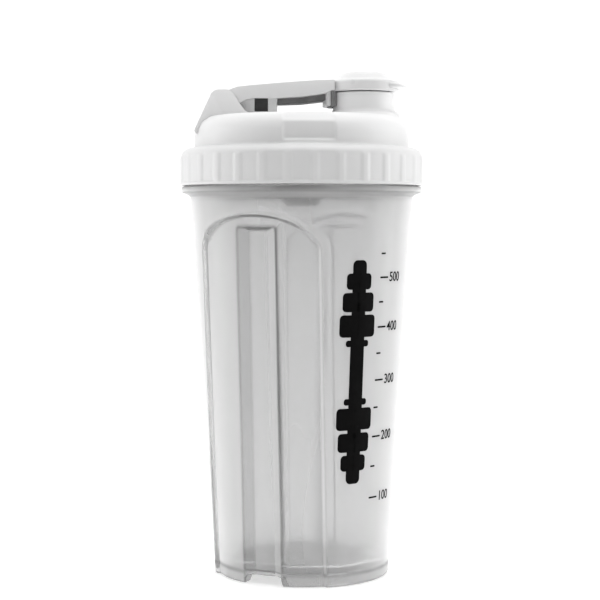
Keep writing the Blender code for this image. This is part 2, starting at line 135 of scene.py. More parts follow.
# Lid
LID_R = lid_high.x
LID_BOTTOM_Z = lid_low.z
LID_COLUMNS = 540
SKIRT_WALL = 2.2
FLUTES = 30
FLUTE_DEPTH = 0.4
RIDGE_HALF_WIDTH = 0.8
RIDGE_SIDE = 1.5
SHOULDER_Z = 175.6
DOME_R = 44.0
DOME_EDGE_R = 7.5
DOME_TOP_Z = 188.5
POCKET_AZIMUTHS = (radians(-86), radians(94))
POCKET_DISTANCE = 41.9
POCKET_HALF_WIDTH = 10.2
POCKET_TOP_Z = 184.6
POCKET_TOP_SLOPE = 1.1
POCKET_SIDE = 1.6
SHOULDER_EDGE = 4.6
SKIRT_FOOT_EDGE = 0.6
SEAT_Z = 172.7
SEAL_LIP_R = (42.0, 43.6)
SEAL_LIP_Z = 168.2
CEILING_Z = 186.5
SPOUT_X = (seal_low.x + seal_high.x) / 2
SPOUT_R = 12.6
SPOUT_BORE_R = 10.8
SPOUT_TOP_Z = 198.3
SPOUT_FILLET = 1.6
PLATFORM_R = 14.2
PLATFORM_Z = 190.4
PLATFORM_SLOPE = 0.55
PLATFORM_EDGE_R = 37.2
PLATFORM_EDGE_FALL = 0.2

# Hinge and flip cap
PIVOT_X = (pin_low.x + pin_high.x) / 2
PIVOT_Z = (pin_low.z + pin_high.z) / 2
EAR_INNER_Y = 10.8
EAR_OUTER_Y = pin_high.y
KNUCKLE_R = 4.0
ARM_HALF_WIDTH = 10.4
BLOCK_HALF_WIDTH = 8.0
KEEL_HALF_WIDTH = 6.0
CAP_BOTTOM_Z = 198.7
CAP_SIDE_TOP_Z = 203.4
CAP_TOP_Z = cap_high.z
CAP_R = cap_high.y
LIP_TIP_X = cap_high.x
APRON_R = (15.3, 17.0)
APRON_Z = (192.6, 201.5)
APRON_HALF_ANGLE = radians(26)
# A dark sheet inside the apron: painted shadow in the gap round the spout.
GAP_SHADOW_R = (13.1, 15.2)
GAP_SHADOW_Z = (192.4, 200.5)
GAP_SHADOW_HALF_ANGLE = APRON_HALF_ANGLE * 1.08

# Print on the cup
INK_LIFT = 0.06
INK_THICKNESS = 0.04
MARK_AZIMUTH = radians(-90 + 31.5)
SCALE_AZIMUTH = radians(-90 + 51.5)
DUMBBELL_Z = 85.9
DUMBBELL_HALF_LENGTH = 44.5
DUMBBELL_BAR_WIDTH = 6.4
DUMBBELL_STUB = 5.2
DUMBBELL_GAP = 1.2
DUMBBELL_PLATES = ((11.5, 6.4), (14.5, 7.6), (16.5, 8.8))
DUMBBELL_COLLAR = (10.5, 2.6)
SCALE_STEP_ML = 50
SCALE_STEPS = 11
FIGURE_SIZE = 5.4


# ---------------------------------------------------------------- mesh helpers


def make_object(name, vertices, faces, smooth_angle=None):
    """An object from points in millimetres, facing outwards."""
    mesh = bpy.data.meshes.new(name)
    mesh.from_pydata([tuple(p) for p in np.asarray(vertices) * MM], [], faces)
    bm = bmesh.new()
    bm.from_mesh(mesh)
    bmesh.ops.recalc_face_normals(bm, faces=bm.faces)
    bm.to_mesh(mesh)
    bm.free()
    mesh.shade_smooth()
    if smooth_angle:
        mesh.set_sharp_from_angle(angle=smooth_angle)
    obj = bpy.data.objects.new(name, mesh)
    bpy.context.scene.collection.objects.link(obj)
    return obj


def from_bmesh(name, bm, smooth_angle=radians(40)):
    """An object from a bmesh in millimetres."""
    bmesh.ops.recalc_face_normals(bm, faces=bm.faces)
    bmesh.ops.scale(bm, verts=bm.verts, vec=(MM, MM, MM))
    mesh = bpy.data.meshes.new(name)
    bm.to_mesh(mesh)
    bm.free()
    mesh.shade_smooth()
    mesh.set_sharp_from_angle(angle=smooth_angle)
    obj = bpy.data.objects.new(name, mesh)
    bpy.context.scene.collection.objects.link(obj)
    return obj


def woven(name, rings, first_pole=None, last_pole=None, closed=False, smooth_angle=None):
    """A surface through rings of points, closed round each ring.

    Poles close the first and last ring to a point; closed joins the last ring to the first.
    """
    rings = np.asarray(rings)
    count, columns = rings.shape[:2]
    vertices = rings.reshape(-1, 3)
    index = np.arange(count * columns).reshape(count, columns)
    following = np.roll(index, -1, axis=1)
    upper, lower = index[:-1], index[1:]
    quads = np.stack([upper, following[:-1], following[1:], lower], axis=-1).reshape(-1, 4)
    faces = quads.tolist()
    if closed:
        seam = np.stack([index[-1], following[-1], following[0], index[0]], axis=-1)
        faces += seam.tolist()
    poles = []
    for pole, row, ahead in ((first_pole, index[0], following[0]), (last_pole, index[-1], following[-1])):
        if pole is not None:
            centre = len(vertices) + len(poles)
            poles.append(pole)
            faces += [[centre, a, b] for a, b in zip(row.tolist(), ahead.tolist())]
    if poles:
        vertices = np.vstack([vertices, poles])
    return make_object(name, vertices, faces, smooth_angle)


def arc(centre, radius, start, end, steps):
    """Points on an arc between two angles in degrees, both ends included."""
    angles = np.radians(np.linspace(start, end, steps + 1))
    return [(centre[0] + radius * cos(a), centre[1] + radius * sin(a)) for a in angles]


def turned(name, profile, segments=96, centre=(0.0, 0.0), closed=False, smooth_angle=radians(40)):
    """A turned solid from an (r, z) outline; an open outline's ends lie on the axis."""
    angles = np.linspace(0, 2 * pi, segments, endpoint=False)
    ring_points = profile if closed else profile[1:-1]
    rings = []
    for r, z in ring_points:
        x = centre[0] + r * np.cos(angles)
        y = centre[1] + r * np.sin(angles)
        rings.append(np.stack([x, y, np.full(segments, z)], axis=-1))
    if closed:
        return woven(name, rings, closed=True, smooth_angle=smooth_angle)
    poles = [(centre[0], centre[1], profile[end][1]) for end in (0, -1)]
    return woven(name, rings, poles[0], poles[1], smooth_angle=smooth_angle)


def round_edges(bm, edges, radius, segments):
    """Rounds edges of a bmesh to a radius."""
    shape = {"profile": 0.5, "affect": "EDGES", "clamp_overlap": True}
    bmesh.ops.bevel(bm, geom=list(edges), offset=radius, segments=segments, **shape)


def rounded_prism(name, outline, low_y, high_y, edge, segments=3, sharp_below=None):
    """An (x, z) outline extruded along Y, with the edges of its two side faces rounded.

    Edges under the height that sharp_below gives for their x are left sharp.
    """
    bm = bmesh.new()
    near = [bm.verts.new((x, low_y, z)) for x, z in outline]
    far = [bm.verts.new((x, high_y, z)) for x, z in outline]
    sides = [bm.faces.new(near), bm.faces.new(list(reversed(far)))]
    for i in range(len(outline)):
        following = (i + 1) % len(outline)
        bm.faces.new((near[i], near[following], far[following], far[i]))
    rims = {e for face in sides for e in face.edges}
    sharp = set()
    if sharp_below:
        for rim in rims:
            middle = (rim.verts[0].co + rim.verts[1].co) / 2
            if middle.z < sharp_below(middle.x):
                sharp.add(rim)
    round_edges(bm, rims - sharp, edge, segments)
    return from_bmesh(name, bm)


def smooth_step(x):
    """Rises from 0 to 1 as x does, level at both ends."""
    x = np.clip(x, 0, 1)
    return x * x * (3 - 2 * x)


def soft_max(a, b, blend):
    """The larger of two fields, rounded where they cross."""
    h = np.clip(0.5 + 0.5 * (a - b) / blend, 0, 1)
    return b + (a - b) * h + blend * h * (1 - h)


def soft_min(a, b, blend):
    """The smaller of two fields, rounded where they cross."""
    return -soft_max(-np.asarray(a), -np.asarray(b), blend)


def soft_clamp(t, blend):
    """Clamps to 0..1 with rounded corners."""
    return soft_min(soft_max(t, 0.0, blend), 1.0, blend)


def graded(value, stops):
    """Reads a value off straight lines through stops."""
    return np.interp(value, *zip(*stops))


def join(name, objects):
    """Makes one object of several."""
    bm = bmesh.new()
    for obj in objects:
        bm.from_mesh(obj.data)
        bpy.data.objects.remove(obj)
    mesh = bpy.data.meshes.new(name)
    bm.to_mesh(mesh)
    bm.free()
    joined = bpy.data.objects.new(name, mesh)
    bpy.context.scene.collection.objects.link(joined)
    return joined


def cut(target, cutter):
    """Takes one solid out of another and removes it."""
    modifier = target.modifiers.new("cut", "BOOLEAN")
    modifier.operation = "DIFFERENCE"
    modifier.object = cutter
    modifier.solver = "EXACT"
    graph = bpy.context.evaluated_depsgraph_get()
    mesh = bpy.data.meshes.new_from_object(target.evaluated_get(graph), depsgraph=graph)
    target.modifiers.clear()
    target.data = mesh
    bpy.data.objects.remove(cutter)


# ---------------------------------------------------------------- cup


def wall_r(z):
    """Outer radius of the tapered wall."""
    return BASE_R + (WALL_TOP_R - BASE_R) * z / WALL_TOP_Z


def taper(pair, z):
    """A size that changes evenly from the base to the groove's top."""
    return pair[0] + (pair[1] - pair[0]) * np.clip(z / GROOVE_TOP_Z, 0, 1)


def panel_shift(z):
    """Sideways distance from a groove's middle to its panel's middle."""
    return np.interp(z, (-5, PANEL_SPRING_Z), PANEL_SHIFT)


def column_stations(z, edge):
    """Sideways distances of the columns on one side of a groove, closest at the moulded edges."""
    floor, mouth = taper(GROOVE_FLOOR_HALF_WIDTH, z), taper(GROOVE_HALF_WIDTH, z)
    return np.concatenate(
        [
            np.linspace(0, floor - 1.2, 5),
            np.linspace(floor - 0.8, mouth + 1.2, 18),
            np.linspace(mouth + 2.2, edge - 1.6, 12),
            np.linspace(edge - 1.2, edge + 1.2, 12),
            [edge + 2.0, edge + 3.0, edge + 4.2],
        ]
    )


def column_azimuths(z):
    """Azimuths of the cup's columns at a height: close together where a panel's edges run."""
    radius = wall_r(np.clip(z, 0, WALL_TOP_Z))
    middle = taper(GROOVE_SHIFT, z)
    off = panel_shift(z) - middle
    right = np.arcsin((column_stations(z, PANEL_HALF_WIDTH + off) + middle) / radius)
    left = np.arcsin((column_stations(z, PANEL_HALF_WIDTH - off) - middle) / radius)
    between = np.linspace(right[-1], pi - left[-1], 24)[1:-1]
    half_turn = np.concatenate([-left[:0:-1], right, between])
    return np.concatenate([azimuth + half_turn for azimuth in PANEL_AZIMUTHS])


def across(azimuths, radius):
    """Sideways distance from the middle of the nearer grip panel."""
    turn = azimuths - PANEL_AZIMUTHS[0]
    return radius * np.sin(turn) * np.where(np.cos(turn) < 0, -1, 1)


def arch_distance(u, z, grow):
    """Distance inside a grip panel's arched outline, negative outside it."""
    u = u - panel_shift(z)
    half = PANEL_HALF_WIDTH + grow
    if z <= PANEL_SPRING_Z:
        return half - np.abs(u)
    rise = PANEL_TOP_Z + grow - PANEL_SPRING_Z
    up = (z - PANEL_SPRING_Z) / rise
    reach = np.sqrt((u / half) ** 2 + up**2)
    slope = np.sqrt((u / half**2) ** 2 + (up / rise) ** 2) / np.maximum(reach, 1e-6)
    return (1 - reach) / np.maximum(slope, 1e-6)


def recess(azimuths, z, grow=0.0):
    """Depth of the grip panel and its groove below the tapered wall.

    On the inner wall, grow is the wall's thickness, and the recess is wider and rounder by it.
    """
    u = across(azimuths, wall_r(z))
    from_middle = np.abs(u - taper(GROOVE_SHIFT, z))
    edge = 2 * PANEL_EDGE + 1.4 * grow
    panel = PANEL_DEPTH * smooth_step(0.5 + arch_distance(u, z, grow) / edge)
    floor = taper(GROOVE_FLOOR_HALF_WIDTH, z) + 1.3 * grow
    mouth = taper(GROOVE_HALF_WIDTH, z) + 1.5 * grow
    side = (mouth - from_middle) / (mouth - floor)
    top = (GROOVE_TOP_Z + 1.5 * grow - z) / (GROOVE_TOP_SLOPE * (1 + grow))
    fall = soft_clamp(soft_min(side, top, 0.2), 0.05 + 0.08 * grow)
    return panel + (GROOVE_DEPTH - PANEL_DEPTH) * fall


def painted_wall_shade(azimuths, z):
    """Painted shade on the outer wall: dark lines along the groove's edges and at the foot, with the
    groove's sides and the foot darker.
    """
    u = across(azimuths, wall_r(z))
    from_middle = np.abs(u - taper(GROOVE_SHIFT, z))
    mouth, floor = taper(GROOVE_HALF_WIDTH, z), taper(GROOVE_FLOOR_HALF_WIDTH, z)
    from_side, from_top = mouth - from_middle, GROOVE_TOP_Z - z
    inside = soft_min(from_side, from_top, 2.0)
    at_side = np.where(u > 0, graded(z, RIGHT_EDGE_STOPS), LEFT_EDGE_SHADE)
    line = np.exp(-((inside / EDGE_WIDTH) ** 2)) * np.where(from_top < from_side, TOP_EDGE_SHADE, at_side)
    side = smooth_step(inside / 0.8) * smooth_step((from_middle - floor + 0.4) / 0.8)
    near = np.where(np.cos(azimuths - PANEL_AZIMUTHS[0]) > 0, 1.0, FAR_PANEL_SHARE)
    foot_line = FOOT_LINE_SHADE * np.exp(-(((z - FOOT_LINE_Z) / FOOT_LINE_WIDTH) ** 2))
    foot = foot_line + FOOT_SHADE * smooth_step(FOOT_LINE_Z - z)
    return np.maximum(near * np.maximum(line, GROOVE_SIDE_SHADE * side), foot)


def notch(azimuths, radius):
    """How far the foot ring is notched under a groove, from 0 to 1."""
    from_middle = np.abs(across(azimuths, radius) - GROOVE_SHIFT[0])
    return smooth_step((NOTCH_HALF_WIDTH - from_middle) / NOTCH_SIDE + 0.5)


def thread_bump(azimuths, z, mid_z, turns):
    """Height of a thread ridge at a place on its wall; it fades out at both its ends."""
    bump = np.zeros_like(azimuths)
    base_turn = np.mod(azimuths / (2 * pi), 1.0)
    for whole in range(3):
        turn = base_turn + whole
        off = np.abs(z - (mid_z + PITCH * turn))
        shape = soft_clamp((THREAD_BASE / 2 - off) / ((THREAD_BASE - THREAD_TIP) / 2), 0.2)
        fade = np.clip(np.minimum(turn - turns[0], turns[1] - turn) * THREAD_FADE, 0, 1)
        bump = np.maximum(bump, THREAD_HEIGHT * shape * fade)
    return bump


def polar(radii, azimuths, z):
    """A ring of points; the radius and the height are one value or one for each azimuth."""
    z = np.broadcast_to(z, azimuths.shape)
    return np.stack([radii * np.cos(azimuths), radii * np.sin(azimuths), z], axis=-1)


def foot_rings():
    """From the middle of the underside out to the foot's edge."""
    azimuths = column_azimuths(0)
    rings = []
    for r, z in ((6, 0.9), (12, 0.75), (18, 0.5), (23, 0.25), (26, 0.06)):
        rings.append(polar(r, azimuths, PUNT_DEPTH + FLOOR_DOME * z))
    punt_wall = arc((PUNT_R - PUNT_EDGE, PUNT_DEPTH - PUNT_EDGE), PUNT_EDGE, 90, 0, 4)
    punt_wall += [(PUNT_R, 2.4), (PUNT_R, 1.6), (PUNT_R, 0.9)]
    start_r = PUNT_R + PUNT_FOOT_EDGE
    punt_wall += arc((start_r, PUNT_FOOT_EDGE), PUNT_FOOT_EDGE, 180, 250, 3)
    lift = NOTCH_Z * notch(azimuths, PUNT_R)
    for r, z in punt_wall:
        rings.append(polar(r, azimuths, z + lift * (1 - z / PUNT_DEPTH)))
    edge_r = wall_r(FOOT_EDGE) - FOOT_EDGE - recess(azimuths, 0.0)
    for share in np.linspace(0, 1, 6):
        radii = start_r + (edge_r - start_r) * share
        rings.append(polar(radii, azimuths, NOTCH_Z * notch(azimuths, radii)))
    return rings


def outer_wall_rings():
    """The foot's rounded edge and the tapered wall up to the collar."""
    rings = []
    for r, z in arc((0, FOOT_EDGE), FOOT_EDGE, -72, 0, 4):
        azimuths = column_azimuths(z)
        radii = wall_r(FOOT_EDGE) - FOOT_EDGE + r - recess(azimuths, z)
        lift = NOTCH_Z * notch(azimuths, radii) * (1 - z / NOTCH_FADE_Z)
        rings.append(polar(radii, azimuths, z + lift))
    heights = list(np.arange(1.8, 9.0, 0.6)) + list(np.arange(9.0, 126, 2.0))
    heights += list(np.arange(126, 150.5, 0.4)) + [151.5, 153, 154.4]
    for z in heights:
        azimuths = column_azimuths(z)
        radii = wall_r(z) - recess(azimuths, z)
        lift = NOTCH_Z * notch(azimuths, radii) * max(0, 1 - z / NOTCH_FADE_Z)
        rings.append(polar(radii, azimuths, z + lift))
    return rings


def neck_rings():
    """The drip collar, the threaded neck, the rim and the bore down to the inner wall."""
    azimuths = column_azimuths(WALL_TOP_Z)
    low_edge, high_edge = COLLAR_EDGE
    profile = list(NECK_FLARE)
    profile += arc((COLLAR_R - low_edge, COLLAR_Z[0] + 0.5), low_edge, -45, 0, 3)
    profile += arc((COLLAR_R - high_edge, COLLAR_Z[1] - high_edge), high_edge, 0, 90, 3)
    profile += [(47.5, COLLAR_Z[1]), (NECK_R + 0.3, COLLAR_Z[1])]
    rings = [polar(r, azimuths, z) for r, z in profile]
    for z in np.arange(COLLAR_Z[1] + 0.3, RIM_Z - 0.7, 0.28):
        radii = NECK_R + thread_bump(azimuths, z, THREAD_Z, CUP_THREAD_TURNS)
        rings.append(polar(radii, azimuths, z))
    rim_r = (NECK_R - NECK_BORE_R) / 2
    for r, z in arc((NECK_R - rim_r, RIM_Z - rim_r), rim_r, 0, 180, 8):
        rings.append(polar(r, azimuths, z))
    for z in (168, 165, 162, 160, 158):
        share = (RIM_Z - z) / (RIM_Z - WALL_TOP_Z)
        radius = NECK_BORE_R + (wall_r(WALL_TOP_Z) - WALL - NECK_BORE_R) * share
        rings.append(polar(radius, azimuths, z))
    return rings


def inner_wall_rings():
    """The inner wall, a wall's thickness behind the outer one, down to the floor."""
    rings = []
    heights = [155, 153.5] + list(np.arange(152, 126, -0.5)) + list(np.arange(126, 10, -2.2))
    for z in heights:
        azimuths = column_azimuths(z)
        rings.append(polar(wall_r(z) - WALL - recess(azimuths, z, WALL), azimuths, z))
    corner_z = FLOOR_Z + FLOOR_FILLET
    azimuths = column_azimuths(corner_z)
    wall = wall_r(corner_z) - WALL - recess(azimuths, corner_z, WALL)
    for r, z in arc((0, corner_z), FLOOR_FILLET, 0, -90, 6):
        rings.append(polar(wall - FLOOR_FILLET + r, azimuths, z))
    for share in (0.85, 0.7, 0.5, 0.3, 0.12):
        rise = FLOOR_DOME * (1 - share**2)
        rings.append(polar((wall - FLOOR_FILLET) * share, azimuths, FLOOR_Z + rise))
    return rings


def collar_shade(ring):
    """Painted shade on the collar, strongest at its top edge under the lid."""
    r, z = np.hypot(ring[0, 0], ring[0, 1]), ring[0, 2]
    if r < NECK_R + 0.5 or z > COLLAR_Z[1] + 0.1:
        return 0.0
    return graded(z, COLLAR_STOPS)


def floor_shade(ring):
    """Painted shade on the inner wall just above the floor."""
    return np.interp(ring[0, 2] - FLOOR_Z, FLOOR_CORNER_RISES, FLOOR_CORNER_SHADES)


def make_cup():
    foot, outer, neck, inner = foot_rings(), outer_wall_rings(), neck_rings(), inner_wall_rings()
    bottom = (0, 0, PUNT_DEPTH + FLOOR_DOME)
    top = (0, 0, FLOOR_Z + FLOOR_DOME)
    cup = woven("cup", foot + outer + neck + inner, bottom, top, smooth_angle=radians(50))
    # Painted shade for each point, stored as an attribute that darkens the cup's material.
    shade_rows = [np.zeros(len(ring)) for ring in foot]
    for ring in outer:
        z = float(np.median(ring[:, 2]))
        shade_rows.append(painted_wall_shade(column_azimuths(z), z))
    shade_rows += [np.full(len(ring), collar_shade(ring)) for ring in neck]
    shade_rows += [np.full(len(ring), floor_shade(ring)) for ring in inner]
    shade_rows.append(np.zeros(len((bottom, top))))
    values = np.concatenate(shade_rows).astype(np.float32)
    cup.data.attributes.new(PAINTED_SHADE, "FLOAT", "POINT").data.foreach_set("value", values)
    return cup


# ---------------------------------------------------------------- print on the cup


def outer_point(azimuth, z, lift):
    """A point just above the cup's plain wall."""
    radius = wall_r(z) + lift
    return (radius * cos(azimuth), radius * sin(azimuth), z)


def wrap_print(name, bm, azimuth):
    """Wraps flat artwork, x sideways and y up, onto the cup and gives it a little thickness."""
    for vertex in bm.verts:
        radius = wall_r(vertex.co.y)
        vertex.co = outer_point(azimuth + vertex.co.x / radius, vertex.co.y, INK_LIFT)
    faces = list(bm.faces)
    lifted = bmesh.ops.extrude_face_region(bm, geom=faces)
    for vertex in (v for v in lifted["geom"] if isinstance(v, bmesh.types.BMVert)):
        outward = Vector((vertex.co.x, vertex.co.y, 0)).normalized()
        vertex.co += outward * INK_THICKNESS
    return from_bmesh(name, bm)


def add_plate(bm, centre_x, centre_y, width, height, corner):
    """A flat rounded rectangle, cut into columns so that it can bend round the cup."""
    half_w, half_h = width / 2, height / 2
    columns = max(4, int(width / 0.8))
    xs = np.linspace(-half_w, half_w, columns + 1)
    near_edge = corner * (1 - np.cos(np.linspace(0, pi / 2, 5)))
    xs = np.unique(np.round(np.concatenate([xs, -half_w + near_edge, half_w - near_edge]), 4))
    rows = max(1, int(height / 3))
    grid = []
    for x in xs:
        into = max(0.0, corner - (half_w - abs(x)))
        trim = corner - (max(corner**2 - into**2, 0.0)) ** 0.5
        ys = np.linspace(-(half_h - trim), half_h - trim, rows + 1)
        grid.append([bm.verts.new((centre_x + x, centre_y + y, 0)) for y in ys])
    for here, there in zip(grid, grid[1:]):
        for i in range(rows):
            bm.faces.new((here[i], there[i], there[i + 1], here[i + 1]))


def make_dumbbell_print():
    """A plain upright dumbbell; each end has a stub of bar, three plates and a collar."""
    bm = bmesh.new()
    add_plate(bm, 0, DUMBBELL_Z, DUMBBELL_BAR_WIDTH, 2 * DUMBBELL_HALF_LENGTH, 2.0)
    for end in (-1, 1):
        reach = DUMBBELL_HALF_LENGTH - DUMBBELL_STUB
        for width, thick in DUMBBELL_PLATES:
            add_plate(bm, 0, DUMBBELL_Z + end * (reach - thick / 2), width, thick, 1.6)
            reach -= thick + DUMBBELL_GAP
        width, thick = DUMBBELL_COLLAR
        add_plate(bm, 0, DUMBBELL_Z + end * (reach - thick / 2), width, thick, 1.0)
    return wrap_print("dumbbell_print", bm, MARK_AZIMUTH)


def capacity_heights(step_ml, count):
    """Heights at which the cup holds each step of volume."""
    heights, volume, z = [], 0.0, FLOOR_Z
    slice_mm = 0.25
    while len(heights) < count:
        azimuths = column_azimuths(z)
        radii = wall_r(z) - WALL - recess(azimuths, z, WALL)
        sweep = np.diff(np.append(azimuths, azimuths[0] + 2 * pi))
        volume += 0.5 * np.sum(np.abs(sweep) * radii**2) * slice_mm / 1000
        z += slice_mm
        if volume >= step_ml * (len(heights) + 1):
            heights.append(z)
    return heights


def add_number(bm, text, x, y, size):
    """Adds upright figures, as flat faces, to a bmesh."""
    curve = bpy.data.curves.new("figures", "FONT")
    curve.body = text
    curve.size = size
    curve.align_x = "LEFT"
    curve.align_y = "CENTER"
    curve.offset = size * 0.012
    obj = bpy.data.objects.new("figures", curve)
    bpy.context.scene.collection.objects.link(obj)
    graph = bpy.context.evaluated_depsgraph_get()
    mesh = bpy.data.meshes.new_from_object(obj.evaluated_get(graph), depsgraph=graph)
    mesh.transform(Matrix.Translation((x, y, 0)))
    bm.from_mesh(mesh)
    bpy.data.objects.remove(obj)


def make_volume_print():
    """Capacity marks every 50 ml from 100 ml up, with figures every 100 ml."""
    bm = bmesh.new()
    for i, z in list(enumerate(capacity_heights(SCALE_STEP_ML, SCALE_STEPS)))[1:]:
        major = i % 2 == 1
        length = 5.0 if major else 2.6
        add_plate(bm, -4.6 + length / 2, z, length, 0.7, 0.3)
        if major:
            add_number(bm, str(SCALE_STEP_ML * (i + 1)), 1.2, z, FIGURE_SIZE)
    return wrap_print("volume_print", bm, SCALE_AZIMUTH)


# ---------------------------------------------------------------- lid


def lid_outer_profile():
    """From the middle of the dome's top out and down to the skirt's lower edge."""
    profile = [(r, DOME_TOP_Z) for r in np.linspace(1.5, DOME_R - DOME_EDGE_R - 0.5, 32)]
    profile += arc((DOME_R - DOME_EDGE_R, DOME_TOP_Z - DOME_EDGE_R), DOME_EDGE_R, 90, 0, 18)
    profile += [(DOME_R, z) for z in np.linspace(DOME_TOP_Z - DOME_EDGE_R - 0.6, SHOULDER_Z + 1.6, 8)]
    profile += arc((DOME_R + 1.2, SHOULDER_Z + 1.2), 1.2, 180, 262, 5)
    profile += arc((LID_R - SHOULDER_EDGE, SHOULDER_Z - SHOULDER_EDGE - 0.1), SHOULDER_EDGE, 84, 0, 14)
    profile += [(LID_R, z) for z in np.arange(170.2, LID_BOTTOM_Z + 2.4, -0.55)]
    profile += [(LID_R, LID_BOTTOM_Z + h) for h in (2.0, 1.7, 1.5, 1.3, 1.1, 0.9)]
    profile += arc((LID_R - SKIRT_FOOT_EDGE, LID_BOTTOM_Z + SKIRT_FOOT_EDGE), SKIRT_FOOT_EDGE, 0, -90, 4)
    return profile


def flute_depth(azimuths, r, z):
    """Broad shallow flutes with narrow ridges between, on the straight part of the skirt."""
    if r < DOME_R + 3:
        return np.zeros_like(azimuths)
    pitch = 2 * pi * LID_R / FLUTES
    from_ridge = np.abs(np.mod(azimuths * FLUTES / (2 * pi) + 0.5, 1.0) - 0.5) * pitch
    side = smooth_step((from_ridge - RIDGE_HALF_WIDTH) / RIDGE_SIDE)
    low = smooth_step((z - LID_BOTTOM_Z - 0.9) / 0.6)
    high = smooth_step((SHOULDER_Z - 2.4 - z) / 2.0)
    return FLUTE_DEPTH * side * low * high


def pocket_shift(x, y, z):
    """Moves dome points into the flat finger pockets."""
    lowest = SHOULDER_Z + 1.4
    limit = POCKET_DISTANCE - np.maximum(z - POCKET_TOP_Z, 0) * POCKET_TOP_SLOPE
    for azimuth in POCKET_AZIMUTHS:
        out = x * cos(azimuth) + y * sin(azimuth)
        side = np.abs(y * cos(azimuth) - x * sin(azimuth))
        between = smooth_step((POCKET_HALF_WIDTH - side) / POCKET_SIDE + 0.5)
        inside = between * smooth_step((z - lowest) / 1.2)
        excess = soft_max(out - limit, 0.0, 0.5) * inside
        x = x - cos(azimuth) * excess
        y = y - sin(azimuth) * excess
    return x, y


def platform_height(x, y):
    """The raised seat round the spout, falling away at the dome's edge."""
    reach = np.hypot(x - SPOUT_X, y)
    height = PLATFORM_Z - PLATFORM_SLOPE * soft_max(reach - PLATFORM_R, 0.0, 1.5)
    edge = np.maximum(np.hypot(x, y) - PLATFORM_EDGE_R, 0)
    return height - PLATFORM_EDGE_FALL * edge**2


def lid_outer_ring(azimuths, r, z):
    """A ring of the lid's outside, with its flutes, spout seat and finger pockets."""
    radii = r - flute_depth(azimuths, r, z)
    x, y = radii * np.cos(azimuths), radii * np.sin(azimuths)
    heights = np.full_like(azimuths, z)
    if z > SHOULDER_Z + 1.0:
        if r < DOME_R:
            heights = soft_max(heights, platform_height(x, y), 0.8)
        x, y = pocket_shift(x, y, heights)
    return np.stack([x, y, heights], axis=-1)


def lid_inner_rings(azimuths):
    """Under the skirt, up past the thread, round the seal lip and over the dome's underside."""
    bore = LID_R - SKIRT_WALL
    rings = [polar(r, azimuths, LID_BOTTOM_Z) for r in (LID_R - 1.2, bore + 0.3)]
    for z in np.arange(LID_BOTTOM_Z + 0.25, 171.6, 0.36):
        radii = bore - thread_bump(azimuths, z, THREAD_Z - PITCH / 2, LID_THREAD_TURNS)
        rings.append(polar(radii, azimuths, z))
    lip_in, lip_out = SEAL_LIP_R
    lip_half = (lip_out - lip_in) / 2
    profile = [(bore, SEAT_Z - 0.5), (bore - 0.5, SEAT_Z), (lip_out + 0.6, SEAT_Z)]
    profile += [(lip_out, z) for z in (SEAT_Z - 0.4, 170, 168.0)]
    profile += arc((lip_in + lip_half, SEAL_LIP_Z), lip_half, -20, -160, 5)
    profile += [(lip_in, z) for z in (168.6, 171, 174)] + [(40.6, 176.0), (39.6, 178.0)]
    profile += arc((34.0, CEILING_Z - 5.6), 5.6, 0, 90, 8)
    profile += [(r, CEILING_Z) for r in (30, 25, 20, 14, 8, 3)]
    return rings + [polar(r, azimuths, z) for r, z in profile]


def ear_outline():
    """From the ear's outer foot up over its top and down the sloping front."""
    outline = [(-43.0, 181.0), (-43.5, 182.4), (-42.9, 183.6)]
    outline += [(-37.6, 195.0)] + arc((-33.2, 194.5), 4.4, 150, 92, 6)
    outline += arc((-30.8, 195.0), 3.9, 88, 38, 6)
    outline += [(-26.6, 195.8), (-24.8, 193.0), (-23.2, 190.8), (-21.4, 189.0), (-19.0, 187.6)]
    outline += [(-19.0, 186.9), (-30, 186.9), (-38, 183.5)]
    return outline


def make_ears():
    ears = []
    for side in (-1, 1):
        low_y, high_y = sorted((side * EAR_INNER_Y, side * EAR_OUTER_Y))
        ears.append(rounded_prism(f"ear{side + 1}", ear_outline(), low_y, high_y, 1.35, 5))
    return ears


def make_spout():
    """The drinking spout, with a small fillet where it leaves the dome."""
    foot = PLATFORM_Z - 0.02
    flank = SPOUT_R + SPOUT_FILLET
    profile = [(flank + 0.6, foot - 1.0), (flank, foot)]
    for turn in np.radians((22, 45, 68, 90)):
        profile.append((flank - SPOUT_FILLET * sin(turn), foot + SPOUT_FILLET * (1 - cos(turn))))
    profile += [(SPOUT_R, 194.0), (SPOUT_R, 196.0)]
    profile += arc((SPOUT_R - 0.6, SPOUT_TOP_Z - 0.6), 0.6, 0, 90, 4)
    profile += arc((SPOUT_BORE_R + 0.5, SPOUT_TOP_Z - 0.5), 0.5, 90, 180, 4)
    profile += [(SPOUT_BORE_R, 192.0), (SPOUT_BORE_R, CEILING_Z + 0.5), (SPOUT_BORE_R + 0.4, CEILING_Z)]
    profile += [(SPOUT_R + 1.2, CEILING_Z), (flank + 0.6, CEILING_Z + 0.9)]
    return turned("spout", profile, 128, (SPOUT_X, 0), closed=True)


def make_lid():
    azimuths = np.linspace(0, 2 * pi, LID_COLUMNS, endpoint=False)
    outer = [lid_outer_ring(azimuths, r, z) for r, z in lid_outer_profile()]
    rings = outer + lid_inner_rings(azimuths)
    shell = woven("lid", rings, (0, 0, DOME_TOP_Z), (0, 0, CEILING_Z))
    high, low, radius = SPOUT_TOP_Z + 6.7, CEILING_Z - 6.5, SPOUT_BORE_R + 0.6
    cut(shell, turned("bore", [(0, high), (radius, high), (radius, low), (0, low)], 96, (SPOUT_X, 0)))
    lid = join("lid", [shell, make_spout()] + make_ears())
    lid.data.shade_smooth()
    lid.data.set_sharp_from_angle(angle=radians(45))
    return lid


# ---------------------------------------------------------------- flip cap


